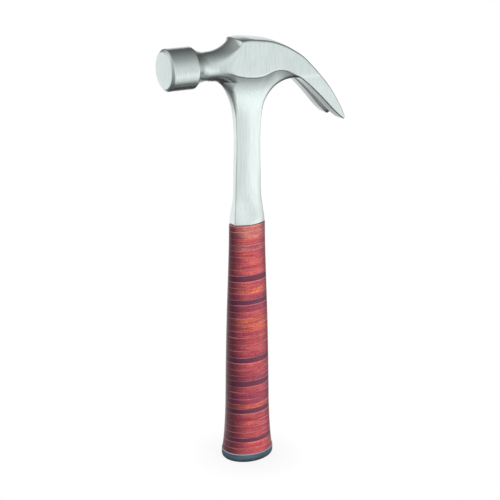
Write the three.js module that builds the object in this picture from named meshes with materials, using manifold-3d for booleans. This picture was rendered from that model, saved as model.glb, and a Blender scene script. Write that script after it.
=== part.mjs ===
// A one-piece steel claw hammer with a grip of leather washers and a steel end cap.
// Millimetres. Z runs up the handle from the butt, X from the striking face to the claw,
// Y across the thickness. The origin is the middle of the end cap's flat underside.

import * as THREE from "three";
import { mergeVertices } from "three/addons/utils/BufferGeometryUtils.js";
import Module from "manifold-3d";

const wasm = await Module();
wasm.setup();

// Overall sizes
const topEdgeHeight = 330;     // butt to the long edges along the top of the head
const crownRise = 1.2;           // the top bows up this much between those edges
const faceReach = 66.05;          // handle axis to the rim of the striking face
const clawReach = 73.6;          // handle axis to the claw's tip
const clawDrop = 63.9;           // top edge down to the claw's tip

// Striking end, turned about a level axis
const pollDepth = 17.9;          // top edge down to the poll's axis
const faceRadius = 13;
const faceCrown = 0.8;
const faceChamferLength = 1.8;
const bellRadius = 15.05;
const bellLength = 20;
const bellShoulderLength = 8;
const throatRadius = 10.4;
const throatReach = 34.05;        // rim of the face to the narrowest part of the throat
const throatFlareRadius = 31.5;
const bellFrontRadius = 14.95;

// Head block, cheeks and claw
const cheekHeight = 27.4;        // top edge down to the lowest point of a cheek
const cheekThickness = 23;
const clawTipWidth = 35;
const clawHollow = 1.8;          // the claw's underside is hollowed by this much
const undersideRound = 2.4;
const cheekFilletRadius = 26;    // from the neck's side out to the cheek

// Nail slot
const slotTipWidth = 6.4;
const slotRootWidth = 1.2;
const slotTopBevel = 0.6;
const slotUnderBevel = 1.5;
const slotCutOverrun = 3;

// Neck
const neckWidth = 18.8;
const neckThickness = 7.4;
const neckTopDepth = 25;         // top edge down to where the neck meets the cheeks
const neckRootDepth = 5;         // the neck runs on this far inside the head
const stemInset = 0.6;           // the head's own stem stays this far inside the neck's sides

// Grip
const gripTop = 191.8;
const gripTopHalfWidth = 14.7;
const gripTopHalfDepth = 8.1;
const stackGap = 0.02;
const gripClearance = 0.3;

// Tang, hidden in the grip
const tangWidth = 13;
const tangThickness = 5.6;
const tangRootDepth = 4;
const tangEndHeight = 3;
const tangClearance = 0.3;

// End cap
const capHeight = 7.5;
const capHalfWidth = 20.85;
const capHalfDepth = 17.1;
const capEdgeRound = 3;
const capTopEdge = 0.4;

// How finely the round shapes are faceted
const pollSides = 48;
const neckSides = 32;
const washerSides = 36;
const capSides = 48;
const flareSteps = 12;
const crownSteps = 6;
const webSteps = 5;
const bottomSteps = 3;
const roundSteps = 4;
const weldDistance = 0.01;

// Stations along the head, from the throat over the neck and round to the claw's tip.
// Each row: top edge reach, top edge drop, lower edge reach, lower edge drop (reaches below zero
// are shares of the handle's distance from the throat, others of the claw's reach, and drops of
// the claw's drop), widening from cheek to claw tip, crown, keel under the lower edge (a share
// of the cheek's height; below zero the underside is hollow instead).
const headStationShares = [
  [-1.01, 0.025, -1.01, 0.391, 0, 1, 0.26],
  [-0.768, 0.025, -0.768, 0.36, 0, 1, 0.35],
  [-0.626, 0.025, -0.626, 0.351, 0, 1, 0.5],
  [-0.499, 0.022, -0.499, 0.376, 0, 1, 0.551],
  [-0.393, 0.017, -0.393, 0.391, 0, 1, 0.785],
  [-0.285, 0.009, -0.285, 0.405, 0, 1, 1.015],
  [-0.053, 0.003, -0.053, 0.423, 0, 1, 1.17],
  [0.053, 0.016, 0.053, 0.429, 0, 1, 1.168],
  [0.12, 0.027, 0.12, 0.418, 0, 1, 1.015],
  [0.162, 0.033, 0.162, 0.404, 0, 1, 0.818],
  [0.226, 0.05, 0.216, 0.376, 0.017, 1, 0.664],
  [0.296, 0.081, 0.261, 0.371, 0.025, 1, 0.593],
  [0.356, 0.11, 0.302, 0.372, 0.033, 1, 0.56],
  [0.423, 0.15, 0.349, 0.382, 0.067, 0.98, 0.427],
  [0.476, 0.188, 0.383, 0.397, 0.1, 0.96, 0.338],
  [0.524, 0.221, 0.414, 0.416, 0.133, 0.94, 0.22],
  [0.571, 0.266, 0.455, 0.441, 0.167, 0.92, 0.124],
  [0.609, 0.313, 0.492, 0.465, 0.2, 0.9, 0.062],
  [0.677, 0.391, 0.557, 0.523, 0.267, 0.86, -0.5],
  [0.755, 0.493, 0.643, 0.61, 0.383, 0.8, -0.85],
  [0.829, 0.596, 0.713, 0.692, 0.517, 0.74, -1],
  [0.878, 0.69, 0.774, 0.764, 0.617, 0.66, -0.95],
  [0.927, 0.778, 0.836, 0.842, 0.733, 0.56, -0.75],
  [0.965, 0.865, 0.893, 0.915, 0.85, 0.44, -0.5],
  [0.993, 0.941, 0.951, 0.975, 0.95, 0.3, -0.25],
  [1, 0.975, 0.984, 1, 1, 0.2, -0.1],
];
const slotFirstStation = 17;

// Rings up the neck: height between the grip and the head, half width towards the face and
// towards the claw (shares of the neck's half width), half thickness, squareness.
const neckRingShares = [
  [0, 1.511, 1.511, 2.081, 2.2],
  [0.006, 1.548, 1.548, 2.176, 2.2],
  [0.019, 1.543, 1.543, 2.149, 2.3],
  [0.046, 1.489, 1.489, 1.946, 2.5],
  [0.068, 1.436, 1.436, 1.73, 2.8],
  [0.099, 1.319, 1.319, 1.459, 3.4],
  [0.143, 1.191, 1.191, 1.257, 4.4],
  [0.187, 1.106, 1.106, 1.149, 5.2],
  [0.24, 1.048, 1.048, 1.081, 5.5],
  [0.32, 1.016, 1.016, 1.027, 6],
  [0.426, 1, 1, 1, 6],
  [0.532, 1.005, 1.016, 0.959, 6],
  [0.62, 1.043, 1.064, 0.905, 6],
  [0.691, 1.117, 1.133, 0.905, 6],
  [0.744, 1.202, 1.207, 0.932, 6],
  [0.788, 1.319, 1.298, 0.973, 6],
  [0.823, 1.436, 1.415, 1, 6],
  [0.859, 1.574, 1.617, 1.014, 6],
  [0.89, 1.745, 1.84, 1.027, 6],
  [0.92, 1.979, 2.064, 1.027, 5.5],
  [0.947, 2.277, 2.191, 1.027, 5.5],
  [0.969, 2.574, 2.234, 1.027, 5.5],
  [1, 2.819, 2.234, 1.027, 5.5],
];

// The grip's half width and half depth up its height, as shares of those at its top.
const gripHeightShares = [
  0, 0.015, 0.044, 0.072, 0.101, 0.158, 0.214, 0.298, 0.38, 0.4625, 0.544, 0.6245, 0.704,
  0.783, 0.8875, 0.939, 1,
];
const gripHalfWidthShares = [
  1.381, 1.357, 1.313, 1.286, 1.265, 1.228, 1.211, 1.201, 1.19, 1.173, 1.153, 1.126, 1.092,
  1.058, 1.017, 1.005, 1,
];
const gripHalfDepthShares = [
  2.043, 2, 1.932, 1.883, 1.84, 1.759, 1.704, 1.648, 1.593, 1.531, 1.463, 1.383, 1.296,
  1.21, 1.093, 1.043, 1,
];

// Where one washer ends and the next starts, as shares of the grip's height from the cap.
const washerEdgeShares = [
  0, 0.0248, 0.0539, 0.0732, 0.0968, 0.126, 0.15, 0.1828, 0.2048, 0.2253, 0.2484, 0.2796,
  0.3054, 0.3318, 0.3545, 0.382, 0.4111, 0.436, 0.4662, 0.4937, 0.5245, 0.5525, 0.5817,
  0.6082, 0.6352, 0.6661, 0.6877, 0.7147, 0.7386, 0.7652, 0.7923, 0.8177, 0.8491, 0.8729,
  0.899, 0.9207, 0.9478, 0.9772, 1,
];
const washerTones = [
  "deep", "red", "dark", "deep", "deep", "red", "deep", "dark", "bright", "plum", "deep",
  "red", "dark", "plum", "deep", "red", "dark", "deep", "deep", "plum", "deep", "bright",
  "red", "deep", "plum", "dark", "plum", "red", "red", "dark", "deep", "deep", "plum",
  "red", "red", "red", "red", "red",
];

const steel = new THREE.MeshStandardMaterial({ color: 0xcdd6d4, roughness: 0.3, metalness: 1 });
const capSteel = new THREE.MeshStandardMaterial({ color: 0x54697a, roughness: 0.35, metalness: 0.6 });
const leather = {
  bright: new THREE.MeshStandardMaterial({ color: 0xc75a44, roughness: 0.4 }),
  red: new THREE.MeshStandardMaterial({ color: 0xb04a48, roughness: 0.4 }),
  deep: new THREE.MeshStandardMaterial({ color: 0x974046, roughness: 0.4 }),
  plum: new THREE.MeshStandardMaterial({ color: 0x7d3a46, roughness: 0.4 }),
  dark: new THREE.MeshStandardMaterial({ color: 0x593543, roughness: 0.4 }),
};

// A closed skin through rings that all have the same number of points, capped at both ends.
function loft(rings) {
  const count = rings[0].length;
  const position = rings.flat(2);
  const index = [];
  for (let i = 0; i < rings.length - 1; i++) {
    for (let j = 0; j < count; j++) {
      const a = i * count + j;
      const b = i * count + ((j + 1) % count);
      index.push(a, b, b + count, a, b + count, a + count);
    }
  }
  const last = rings.length - 1;
  [0, last].forEach((end) => {
    const middle = [0, 1, 2].map((k) => rings[end].reduce((sum, p) => sum + p[k], 0) / count);
    position.push(...middle);
    const hub = position.length / 3 - 1;
    for (let j = 0; j < count; j++) {
      const a = end * count + j;
      const b = end * count + ((j + 1) % count);
      index.push(...(end === 0 ? [hub, b, a] : [hub, a, b]));
    }
  });
  const geometry = new THREE.BufferGeometry();
  geometry.setAttribute("position", new THREE.Float32BufferAttribute(position, 3));
  geometry.setIndex(index);
  return geometry;
}

function solidOf(geometry) {
  const bare = geometry.clone();
  bare.deleteAttribute("normal");
  bare.deleteAttribute("uv");
  const merged = mergeVertices(bare);
  const mesh = new wasm.Mesh({
    numProp: 3,
    vertProperties: new Float32Array(merged.attributes.position.array),
    triVerts: new Uint32Array(merged.index.array),
  });
  return new wasm.Manifold(mesh);
}

// Cuts leave some corners a hair apart. They become one corner, and the slivers between them go.
function geometryOf(solid) {
  const mesh = solid.getMesh();
  const corners = Array.from({ length: mesh.vertProperties.length / 3 }, (unused, i) => (
    new THREE.Vector3().fromArray(mesh.vertProperties, 3 * i)
  ));
  const kept = corners.map((corner, i) => {
    const twin = corners.findIndex((other) => other.distanceTo(corner) < weldDistance);
    return Math.min(i, twin);
  });
  const index = [];
  for (let i = 0; i < mesh.triVerts.length; i += 3) {
    const [a, b, c] = [0, 1, 2].map((k) => kept[kept[mesh.triVerts[i + k]]]);
    if (a !== b && b !== c && c !== a) index.push(a, b, c);
  }
  const geometry = new THREE.BufferGeometry();
  geometry.setAttribute("position", new THREE.Float32BufferAttribute(mesh.vertProperties, 3));
  geometry.setIndex(index);
  const flat = geometry.toNonIndexed();
  flat.computeVertexNormals();
  return flat;
}

// A power of a sine or cosine that keeps its sign, for rings between oval and square.
function squared(value, squareness) {
  return Math.sign(value) * Math.abs(value) ** (2 / squareness);
}

// A ring about the handle with its own half width on each side, level at one height.
function handleRing(faceSide, clawSide, halfDepth, squareness, height, sides) {
  const ring = [];
  for (let i = 0; i < sides; i++) {
    const angle = (2 * Math.PI * i) / sides;
    const across = squared(Math.cos(angle), squareness);
    const reach = across < 0 ? faceSide : clawSide;
    ring.push([reach * across, halfDepth * squared(Math.sin(angle), squareness), height]);
  }
  return ring;
}

// Reads a value between the entries of two tables of equal length.
function between(table, keys, key) {
  let i = 0;
  while (i < keys.length - 2 && keys[i + 1] < key) i++;
  const part = (key - keys[i]) / (keys[i + 1] - keys[i]);
  return THREE.MathUtils.lerp(table[i], table[i + 1], part);
}

// The turned outline of the striking end. Past the throat it opens out until it clears the
// whole head, so that it also shapes the flare where the throat meets the cheeks.
function pollOutline() {
  const points = [];
  for (let i = 0; i <= roundSteps; i++) {
    const radius = (faceRadius * i) / roundSteps;
    points.push(new THREE.Vector2(radius, -faceCrown * (1 - (radius / faceRadius) ** 2)));
  }
  points.push(new THREE.Vector2(bellFrontRadius, faceChamferLength));
  points.push(new THREE.Vector2(bellRadius, (faceChamferLength + bellLength) / 2));
  const shoulderEnd = bellLength + bellShoulderLength;
  for (let i = 0; i <= roundSteps; i++) {
    const turn = (i / roundSteps) * Math.PI;
    const radius = THREE.MathUtils.lerp(throatRadius, bellRadius, (1 + Math.cos(turn)) / 2);
    points.push(new THREE.Vector2(radius, THREE.MathUtils.lerp(bellLength, shoulderEnd, i / roundSteps)));
  }
  for (let i = 0; i <= flareSteps; i++) {
    const turn = (i / flareSteps) * (Math.PI / 2);
    points.push(new THREE.Vector2(
      throatRadius + throatFlareRadius * (1 - Math.cos(turn)),
      throatReach + throatFlareRadius * Math.sin(turn),
    ));
  }
  const clear = clawReach + clawDrop + throatFlareRadius;
  points.push(new THREE.Vector2(clear, throatReach + throatFlareRadius));
  points.push(new THREE.Vector2(clear, faceReach + clear));
  points.push(new THREE.Vector2(0, faceReach + clear));
  return points;
}

// Stands a shape turned about Y on the poll's axis, with its start at the rim of the face.
function alongPoll(geometry) {
  geometry.rotateZ(-Math.PI / 2);
  geometry.translate(-faceReach, 0, topEdgeHeight - pollDepth);
  return solidOf(geometry);
}

// One station of the head, with the lower edge, the fillet in to the neck and the crown.
function headStation(shares) {
  const [topReach, topFall, lowReach, lowFall, widening, crown, keel] = shares;
  const along = (share) => share * (share < 0 ? faceReach - throatReach : clawReach);
  const top = new THREE.Vector2(along(topReach), topEdgeHeight - clawDrop * topFall);
  const low = new THREE.Vector2(along(lowReach), topEdgeHeight - clawDrop * lowFall);
  const side = THREE.MathUtils.lerp(cheekThickness, clawTipWidth, widening) / 2;
  const depth = top.distanceTo(low);
  const down = low.clone().sub(top).normalize();
  const place = (across, deep) => [top.x + down.x * deep, across, top.y + down.y * deep];
  return { side, depth, place, crown: crownRise * crown, keel };
}

function undersideOutline(side, keel) {
  if (keel < 0) {
    const count = webSteps + bottomSteps;
    return Array.from({ length: count + 1 }, (unused, i) => {
      const share = i / count;
      return [side * (1 - share), clawHollow * keel * (1 - (1 - share) ** 2)];
    });
  }
  const stem = neckThickness / 2 - stemInset;
  const reach = cheekHeight * keel;
  const turn = Math.acos(1 - (side - stem) / cheekFilletRadius);
  const fall = cheekFilletRadius * Math.sin(turn);
  const bottom = reach - Math.min(undersideRound, reach / 2);
  const halfAt = (deep) => {
    const rise = Math.max(0, fall - deep) / cheekFilletRadius;
    return stem + cheekFilletRadius * (1 - Math.sqrt(1 - rise * rise));
  };
  const points = [];
  for (let i = 0; i <= webSteps; i++) {
    const deep = (Math.min(bottom, fall) * i) / webSteps;
    points.push([halfAt(deep), i === webSteps ? bottom : deep]);
  }
  const last = points[webSteps][0];
  for (let i = 1; i <= bottomSteps; i++) {
    const turnDown = ((i / bottomSteps) * Math.PI) / 2;
    points.push([last * Math.cos(turnDown), bottom + (reach - bottom) * Math.sin(turnDown)]);
  }
  return points;
}

function headRing(shares) {
  const { side, depth, place, crown, keel } = headStation(shares);
  const ring = [];
  for (let i = 0; i <= crownSteps; i++) {
    const across = side * (1 - (2 * i) / crownSteps);
    ring.push(place(across, -crown * (1 - (across / side) ** 2)));
  }
  const under = undersideOutline(side, keel);
  under.forEach(([across, deep]) => ring.push(place(-across, depth + deep)));
  const back = under.slice(0, -1).reverse();
  back.forEach(([across, deep]) => ring.push(place(across, depth + deep)));
  return ring;
}

// The tapered nail slot, cut square through the claw and opened out on both faces.
function slotRings() {
  const stations = headStationShares.slice(slotFirstStation);
  const rings = stations.map((shares, i) => {
    const { depth, place } = headStation(shares);
    const share = i / (stations.length - 1);
    const half = THREE.MathUtils.lerp(slotRootWidth, slotTipWidth, share) / 2;
    const over = half + slotTopBevel;
    const under = half + slotUnderBevel;
    return [
      place(over, -slotCutOverrun), place(-over, -slotCutOverrun), place(-half, depth / 2),
      place(-under, depth + slotCutOverrun), place(under, depth + slotCutOverrun),
      place(half, depth / 2),
    ];
  });
  const [before, tip] = rings.slice(-2);
  const onward = new THREE.Vector3().fromArray(tip[2]).sub(new THREE.Vector3().fromArray(before[2]));
  onward.setY(0).setLength(slotCutOverrun);
  rings.push(tip.map(([x, y, z]) => [x + onward.x, y, z + onward.z]));
  return rings;
}

function neckRings() {
  const length = topEdgeHeight - neckTopDepth - gripTop;
  const rings = neckRingShares.map(([rise, faceSide, clawSide, thick, squareness]) => handleRing(
    (neckWidth / 2) * faceSide,
    (neckWidth / 2) * clawSide,
    (neckThickness / 2) * thick,
    squareness,
    gripTop + length * rise,
    neckSides,
  ));
  const last = rings[rings.length - 1];
  rings.push(last.map(([x, y, z]) => [x, y, z + neckRootDepth]));
  return rings;
}

function tang() {
  const top = gripTop + tangRootDepth;
  const box = new THREE.BoxGeometry(tangWidth, tangThickness, top - tangEndHeight);
  box.translate(0, 0, (top + tangEndHeight) / 2);
  return solidOf(box);
}

function forging() {
  const poll = alongPoll(new THREE.LatheGeometry(pollOutline(), pollSides));
  const envelope = new THREE.CylinderGeometry(
    bellRadius + faceRadius, bellRadius + faceRadius, bellLength + throatReach, pollSides,
  );
  envelope.translate(0, (throatReach - bellLength) / 2 + bellShoulderLength / 2, 0);
  const block = solidOf(loft(headStationShares.map(headRing))).add(alongPoll(envelope));
  const head = block.intersect(poll).subtract(solidOf(loft(slotRings())));
  return geometryOf(head.add(solidOf(loft(neckRings()))).add(tang()));
}

// One leather washer: an oval with the tang's slot, a little narrower or wider at its top.
function washer(lowShare, highShare) {
  const height = gripTop - gripClearance - capHeight;
  const thickness = height * (highShare - lowShare) - stackGap;
  const half = (share) => [
    gripTopHalfWidth * between(gripHalfWidthShares, gripHeightShares, share),
    gripTopHalfDepth * between(gripHalfDepthShares, gripHeightShares, share),
  ];
  const [wide, deep] = half(lowShare);
  const [wideTop, deepTop] = half(highShare);
  const outline = new THREE.Shape();
  outline.absellipse(0, 0, wide, deep, 0, 2 * Math.PI);
  const slotWide = tangWidth / 2 + tangClearance;
  const slotDeep = tangThickness / 2 + tangClearance;
  const slot = new THREE.Path();
  slot.moveTo(-slotWide, -slotDeep);
  slot.lineTo(-slotWide, slotDeep);
  slot.lineTo(slotWide, slotDeep);
  slot.lineTo(slotWide, -slotDeep);
  outline.holes.push(slot);
  const geometry = new THREE.ExtrudeGeometry(outline, {
    depth: thickness, bevelEnabled: false, curveSegments: washerSides / 2,
  });
  const position = geometry.attributes.position;
  const clear = Math.hypot(slotWide, slotDeep) + tangClearance;
  for (let i = 0; i < position.count; i++) {
    const outside = Math.hypot(position.getX(i), position.getY(i)) > clear;
    if (outside && position.getZ(i) > thickness / 2) {
      position.setX(i, (position.getX(i) * wideTop) / wide);
      position.setY(i, (position.getY(i) * deepTop) / deep);
    }
  }
  return geometry;
}

// The end cap: rounded below, a pocket for the tang's end above.
function endCap() {
  const rings = [];
  for (let i = 0; i <= roundSteps; i++) {
    const turn = ((i / roundSteps) * Math.PI) / 2;
    const inset = capEdgeRound * (1 - Math.sin(turn));
    const height = capEdgeRound * (1 - Math.cos(turn));
    rings.push(handleRing(capHalfWidth - inset, capHalfWidth - inset, capHalfDepth - inset, 2, height, capSides));
  }
  const shoulder = capHeight - capTopEdge;
  rings.push(handleRing(capHalfWidth, capHalfWidth, capHalfDepth, 2, shoulder, capSides));
  const topWide = capHalfWidth - capTopEdge;
  rings.push(handleRing(topWide, topWide, capHalfDepth - capTopEdge, 2, capHeight, capSides));
  const floor = tangEndHeight - tangClearance;
  const pocket = new THREE.BoxGeometry(
    tangWidth + 2 * tangClearance, tangThickness + 2 * tangClearance, capHeight,
  );
  pocket.translate(0, 0, floor + capHeight / 2);
  return geometryOf(solidOf(loft(rings)).subtract(solidOf(pocket)));
}

const hammer = new THREE.Group();

const body = new THREE.Mesh(forging(), steel);
body.name = "forged_head_neck_and_tang";
hammer.add(body);

const grip = new THREE.Group();
grip.position.z = capHeight + stackGap;
hammer.add(grip);

washerTones.forEach((tone, i) => {
  const low = washerEdgeShares[i];
  const piece = new THREE.Mesh(washer(low, washerEdgeShares[i + 1]), leather[tone]);
  piece.name = `leather_washer_${String(i + 1).padStart(2, "0")}`;
  piece.position.z = (gripTop - gripClearance - capHeight) * low;
  grip.add(piece);
});

const cap = new THREE.Mesh(endCap(), capSteel);
cap.name = "butt_end_cap";
hammer.add(cap);

export default hammer;
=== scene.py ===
# A one-piece steel claw hammer with a lacquered leather washer grip, on a pale studio floor.
# The steel forging is worked out as one smooth solid, the washers and the cap as grids.
# Lengths in the dictionaries are millimetres, and the meshes are metres.

import math

import bpy
import numpy as np
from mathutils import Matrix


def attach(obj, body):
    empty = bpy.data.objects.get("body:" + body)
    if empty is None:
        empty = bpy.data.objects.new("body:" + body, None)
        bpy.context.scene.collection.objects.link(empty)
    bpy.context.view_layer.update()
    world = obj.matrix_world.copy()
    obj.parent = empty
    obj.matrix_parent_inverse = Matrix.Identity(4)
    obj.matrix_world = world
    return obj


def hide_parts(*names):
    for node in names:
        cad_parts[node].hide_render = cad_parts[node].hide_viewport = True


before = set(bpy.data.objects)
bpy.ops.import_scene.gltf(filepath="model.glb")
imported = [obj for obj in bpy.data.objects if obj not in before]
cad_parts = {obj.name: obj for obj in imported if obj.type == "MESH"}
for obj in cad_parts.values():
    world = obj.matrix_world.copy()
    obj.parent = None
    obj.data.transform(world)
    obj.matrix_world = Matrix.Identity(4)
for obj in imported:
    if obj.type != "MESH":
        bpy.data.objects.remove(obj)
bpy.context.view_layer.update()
print("frame loaded:", len(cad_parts), "nodes")

mm = 0.001
reliefStep = 0.0003    # metres, height of the finest relief in steel and leather


# Camera at the photograph's angle, a little above and round to the face's side
camera = {
    "azimuth": -29.1,      # degrees round to the face's side
    "elevation": 19.0,
    "frame": 500.0,        # width of the picture in pixels
    "focal": 1300.0,       # in the same pixels
    "scale": 1.33,         # pixels per millimetre at the target
    "target": (2.58, 0.0, 169.5),
    "sensor": 36.0,
    "clip": (0.01, 20.0),  # metres
}


# Unit vector towards an azimuth, which runs from the front to the claw's side, and an elevation.
def direction(azimuth, elevation):
    a, e = math.radians(azimuth), math.radians(elevation)
    return math.sin(a) * math.cos(e), -math.cos(a) * math.cos(e), math.sin(e)


# The camera stands off the target by its focal length over the scale, so that a millimetre there
# spans as many pixels as the scale says, and it is turned back to look at the target.
def makeCamera(spec):
    back = np.array(direction(spec["azimuth"], spec["elevation"]))
    place = np.array(spec["target"]) + back * spec["focal"] / spec["scale"]
    data = bpy.data.cameras.new("photoCamera")
    data.sensor_width = spec["sensor"]
    data.lens = spec["sensor"] * spec["focal"] / spec["frame"]
    data.clip_start, data.clip_end = spec["clip"]
    eye = bpy.data.objects.new("photoCamera", data)
    bpy.context.scene.collection.objects.link(eye)
    eye.location = place * mm
    eye.rotation_euler = (math.pi / 2 - math.radians(spec["elevation"]), 0.0,
                          math.radians(spec["azimuth"]))
    bpy.context.scene.camera = eye


makeCamera(camera)
print("camera ready")


# Largest of two fields with the edge between them rounded over about k.
def roundMax(a, b, k):
    h = np.maximum(k - np.abs(a - b), 0.0)
    return np.maximum(a, b) + h * h / (4.0 * k)


# Smallest of two fields, rounded in the same way.
def roundMin(a, b, k):
    return -roundMax(-a, -b, k)


# Share of the way from a start to an end, held at 0 and 1. The end may be the lower one.
def ramp(value, start, end):
    return np.clip((value - start) / (end - start), 0, 1)


# The same share t, eased in and out as t * t * (3 - 2 * t), up to the most it reaches.
def easeRamp(value, start, end, most=1.0):
    t = ramp(value, start, end)
    return most * t * t * (3 - 2 * t)


# Uniform cubic B-spline over the rows of a table: each row pulls the curve, and the ends are met.
def smoothRows(rows, count):
    p = np.asarray(rows, float)
    p = np.vstack([2 * p[0] - p[1], p, 2 * p[-1] - p[-2]])
    t = np.linspace(0, len(p) - 3, count)
    i = np.minimum(t.astype(int), len(p) - 4)
    u = (t - i)[:, None]
    return ((1 - u) ** 3 * p[i] + (3 * u**3 - 6 * u**2 + 4) * p[i + 1]
            + (-3 * u**3 + 3 * u**2 + 3 * u + 1) * p[i + 2] + u**3 * p[i + 3]) / 6


# Signed distance in the side view from points to a curve, counted outwards to the left of it or
# to the right, with the share of its length at the nearest sample and the distance past that
# sample. The nearest sample is found on every 16th one first and then among its neighbours.
def curveDistance(curve, leftward, x, z, stride=16, batch=60000):
    tangents = np.gradient(curve, axis=0)
    tangents /= np.linalg.norm(tangents, axis=1, keepdims=True)
    normals = np.stack([-tangents[:, 1], tangents[:, 0]], 1) * (1 if leftward else -1)
    flat = np.stack([x.ravel(), z.ravel()], 1)
    coarse = curve[::stride]
    near = np.empty(len(flat), int)
    for start in range(0, len(flat), batch):
        part = flat[start:start + batch]
        gap = (part[:, :1] - coarse[:, 0]) ** 2 + (part[:, 1:] - coarse[:, 1]) ** 2
        near[start:start + batch] = gap.argmin(1) * stride
    window = np.clip(near[:, None] + np.arange(-stride, stride + 1), 0, len(curve) - 1)
    gap = ((flat[:, None, :] - curve[window]) ** 2).sum(-1)
    best = window[np.arange(len(flat)), gap.argmin(1)]
    offset = flat - curve[best]
    away = (offset * normals[best]).sum(1)
    past = (offset * tangents[best]).sum(1)
    return away.reshape(x.shape), best.reshape(x.shape) / (len(curve) - 1), past.reshape(x.shape)


# Puts points in millimetres and their faces into a mesh, with any normals per corner, UV map,
# even tone and pattern seed.
def putMesh(name, points, faces, material, loopNormals=None, uv=None, tone=None, seed=0.0,
            smooth=True):
    mesh = bpy.data.meshes.new(name)
    size = faces.shape[1]
    mesh.vertices.add(len(points))
    mesh.vertices.foreach_set("co", (points * mm).astype(np.float32).ravel())
    mesh.loops.add(faces.size)
    mesh.loops.foreach_set("vertex_index", faces.astype(np.int32).ravel())
    mesh.polygons.add(len(faces))
    mesh.polygons.foreach_set("loop_start", np.arange(0, faces.size, size, dtype=np.int32))
    mesh.polygons.foreach_set("loop_total", np.full(len(faces), size, np.int32))
    mesh.update(calc_edges=True)
    mesh.validate()
    mesh.polygons.foreach_set("use_smooth", np.full(len(mesh.polygons), smooth))
    if uv is not None:
        layer = mesh.uv_layers.new(name="surface")
        layer.data.foreach_set("uv", uv[faces.ravel()].astype(np.float32).ravel())
    if tone is not None:
        layer = mesh.color_attributes.new(name="tone", type="FLOAT_COLOR", domain="POINT")
        layer.data.foreach_set("color", np.tile(np.array([*tone, 1.0], np.float32), len(points)))
        layer = mesh.attributes.new(name="seed", type="FLOAT", domain="POINT")
        layer.data.foreach_set("value", np.full(len(points), seed, np.float32))
    if loopNormals is not None:
        mesh.normals_split_custom_set(loopNormals.astype(np.float32))
    mesh.materials.append(material)
    piece = bpy.data.objects.new(name, mesh)
    bpy.context.scene.collection.objects.link(piece)
    return piece


# Faces of a grid of rows by columns, closed round both ways: each joins a point to the next in
# its row and to the two beside them in the next row.
def ringFaces(rows, columns):
    i, j = np.meshgrid(np.arange(rows), np.arange(columns), indexing="ij")
    nextRow, nextColumn = (i + 1) % rows, (j + 1) % columns
    quads = [i * columns + j, i * columns + nextColumn,
             nextRow * columns + nextColumn, nextRow * columns + j]
    return np.stack(quads, -1).reshape(-1, 4)


# A shader socket whose + - * make Math nodes. The other side may be a number.
class Socket:
    def __init__(self, tree, link):
        self.tree, self.link = tree, link

    def math(self, operation, *values):
        return self.tree.node("ShaderNodeMath", {"operation": operation}, *values)

    def __add__(self, other):
        return self.math("ADD", self, other)

    def __sub__(self, other):
        return self.math("SUBTRACT", self, other)

    def __rsub__(self, other):
        return self.math("SUBTRACT", other, self)

    def __mul__(self, other):
        return self.math("MULTIPLY", self, other)

    def clamp(self):
        return self.tree.node("ShaderNodeClamp", {}, self)

    __radd__ = __add__
    __rmul__ = __mul__


# A material's or a world's node tree. Its method node adds any node: the type, the settings,
# then the values or links of its sockets, by place or by name, and the output that is used.
class Tree:
    def __init__(self, owner):
        owner.use_nodes = True
        self.nodes, self.links = owner.node_tree.nodes, owner.node_tree.links
        self.nodes.clear()

    def node(self, kind, settings, *values, out=0, **named):
        made = self.nodes.new(kind)
        for key, value in settings.items():
            setattr(made, key, value)
        wanted = list(enumerate(values)) + [(key.replace("_", " "), v) for key, v in named.items()]
        for key, value in wanted:
            self.fill(made.inputs[key], value)
        return Socket(self, made.outputs[out])

    def fill(self, target, value):
        if isinstance(value, Socket):
            self.links.new(value.link, target)
        else:
            target.default_value = value

    # A straight remap from one span to another, held at the ends.
    def remap(self, value, low, high, toLow=0.0, toHigh=1.0):
        return self.node("ShaderNodeMapRange", {}, value, low, high, toLow, toHigh)

    # Two colours mixed or multiplied by a factor. A colour is a link or three numbers.
    def mix(self, factor, first, second, blend="MIX"):
        made = self.node("ShaderNodeMix", {"data_type": "RGBA", "blend_type": blend}, factor, out=2)
        sockets = made.link.node.inputs
        for socket, colour in ((sockets[6], first), (sockets[7], second)):
            self.fill(socket, colour if isinstance(colour, Socket) else (*colour, 1.0))
        return made

    # Position on the piece in metres, from its object coordinates, times a number per axis.
    def place(self, scale=(1.0, 1.0, 1.0)):
        where = self.node("ShaderNodeTexCoord", {}, out="Object")
        return self.node("ShaderNodeMapping", {"vector_type": "POINT"}, where, Scale=scale)

    # Cloudy pattern from 0 to 1. Another seed gives another pattern.
    def noise(self, vector, scale, detail, rough, seed=0.0):
        return self.node("ShaderNodeTexNoise", {"noise_dimensions": "4D"}, Vector=vector, W=seed,
                         Scale=scale, Detail=detail, Roughness=rough)

    # 1 for each of the named kinds of ray and 0 for the rest.
    def rays(self, *kinds):
        return [self.node("ShaderNodeLightPath", {}, out=f"Is {kind} Ray") for kind in kinds]

    # Links a finished shader to the tree's output.
    def finish(self, shader, kind="ShaderNodeOutputMaterial"):
        self.links.new(shader.link, self.nodes.new(kind).inputs[0])


# Linear value of a colour as it is seen on screen, from 0 to 255.
def seen(r, g, b):
    c = np.array([r, g, b]) / 255.0
    return tuple(np.where(c <= 0.04045, c / 12.92, ((c + 0.055) / 1.055) ** 2.4).tolist())


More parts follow.
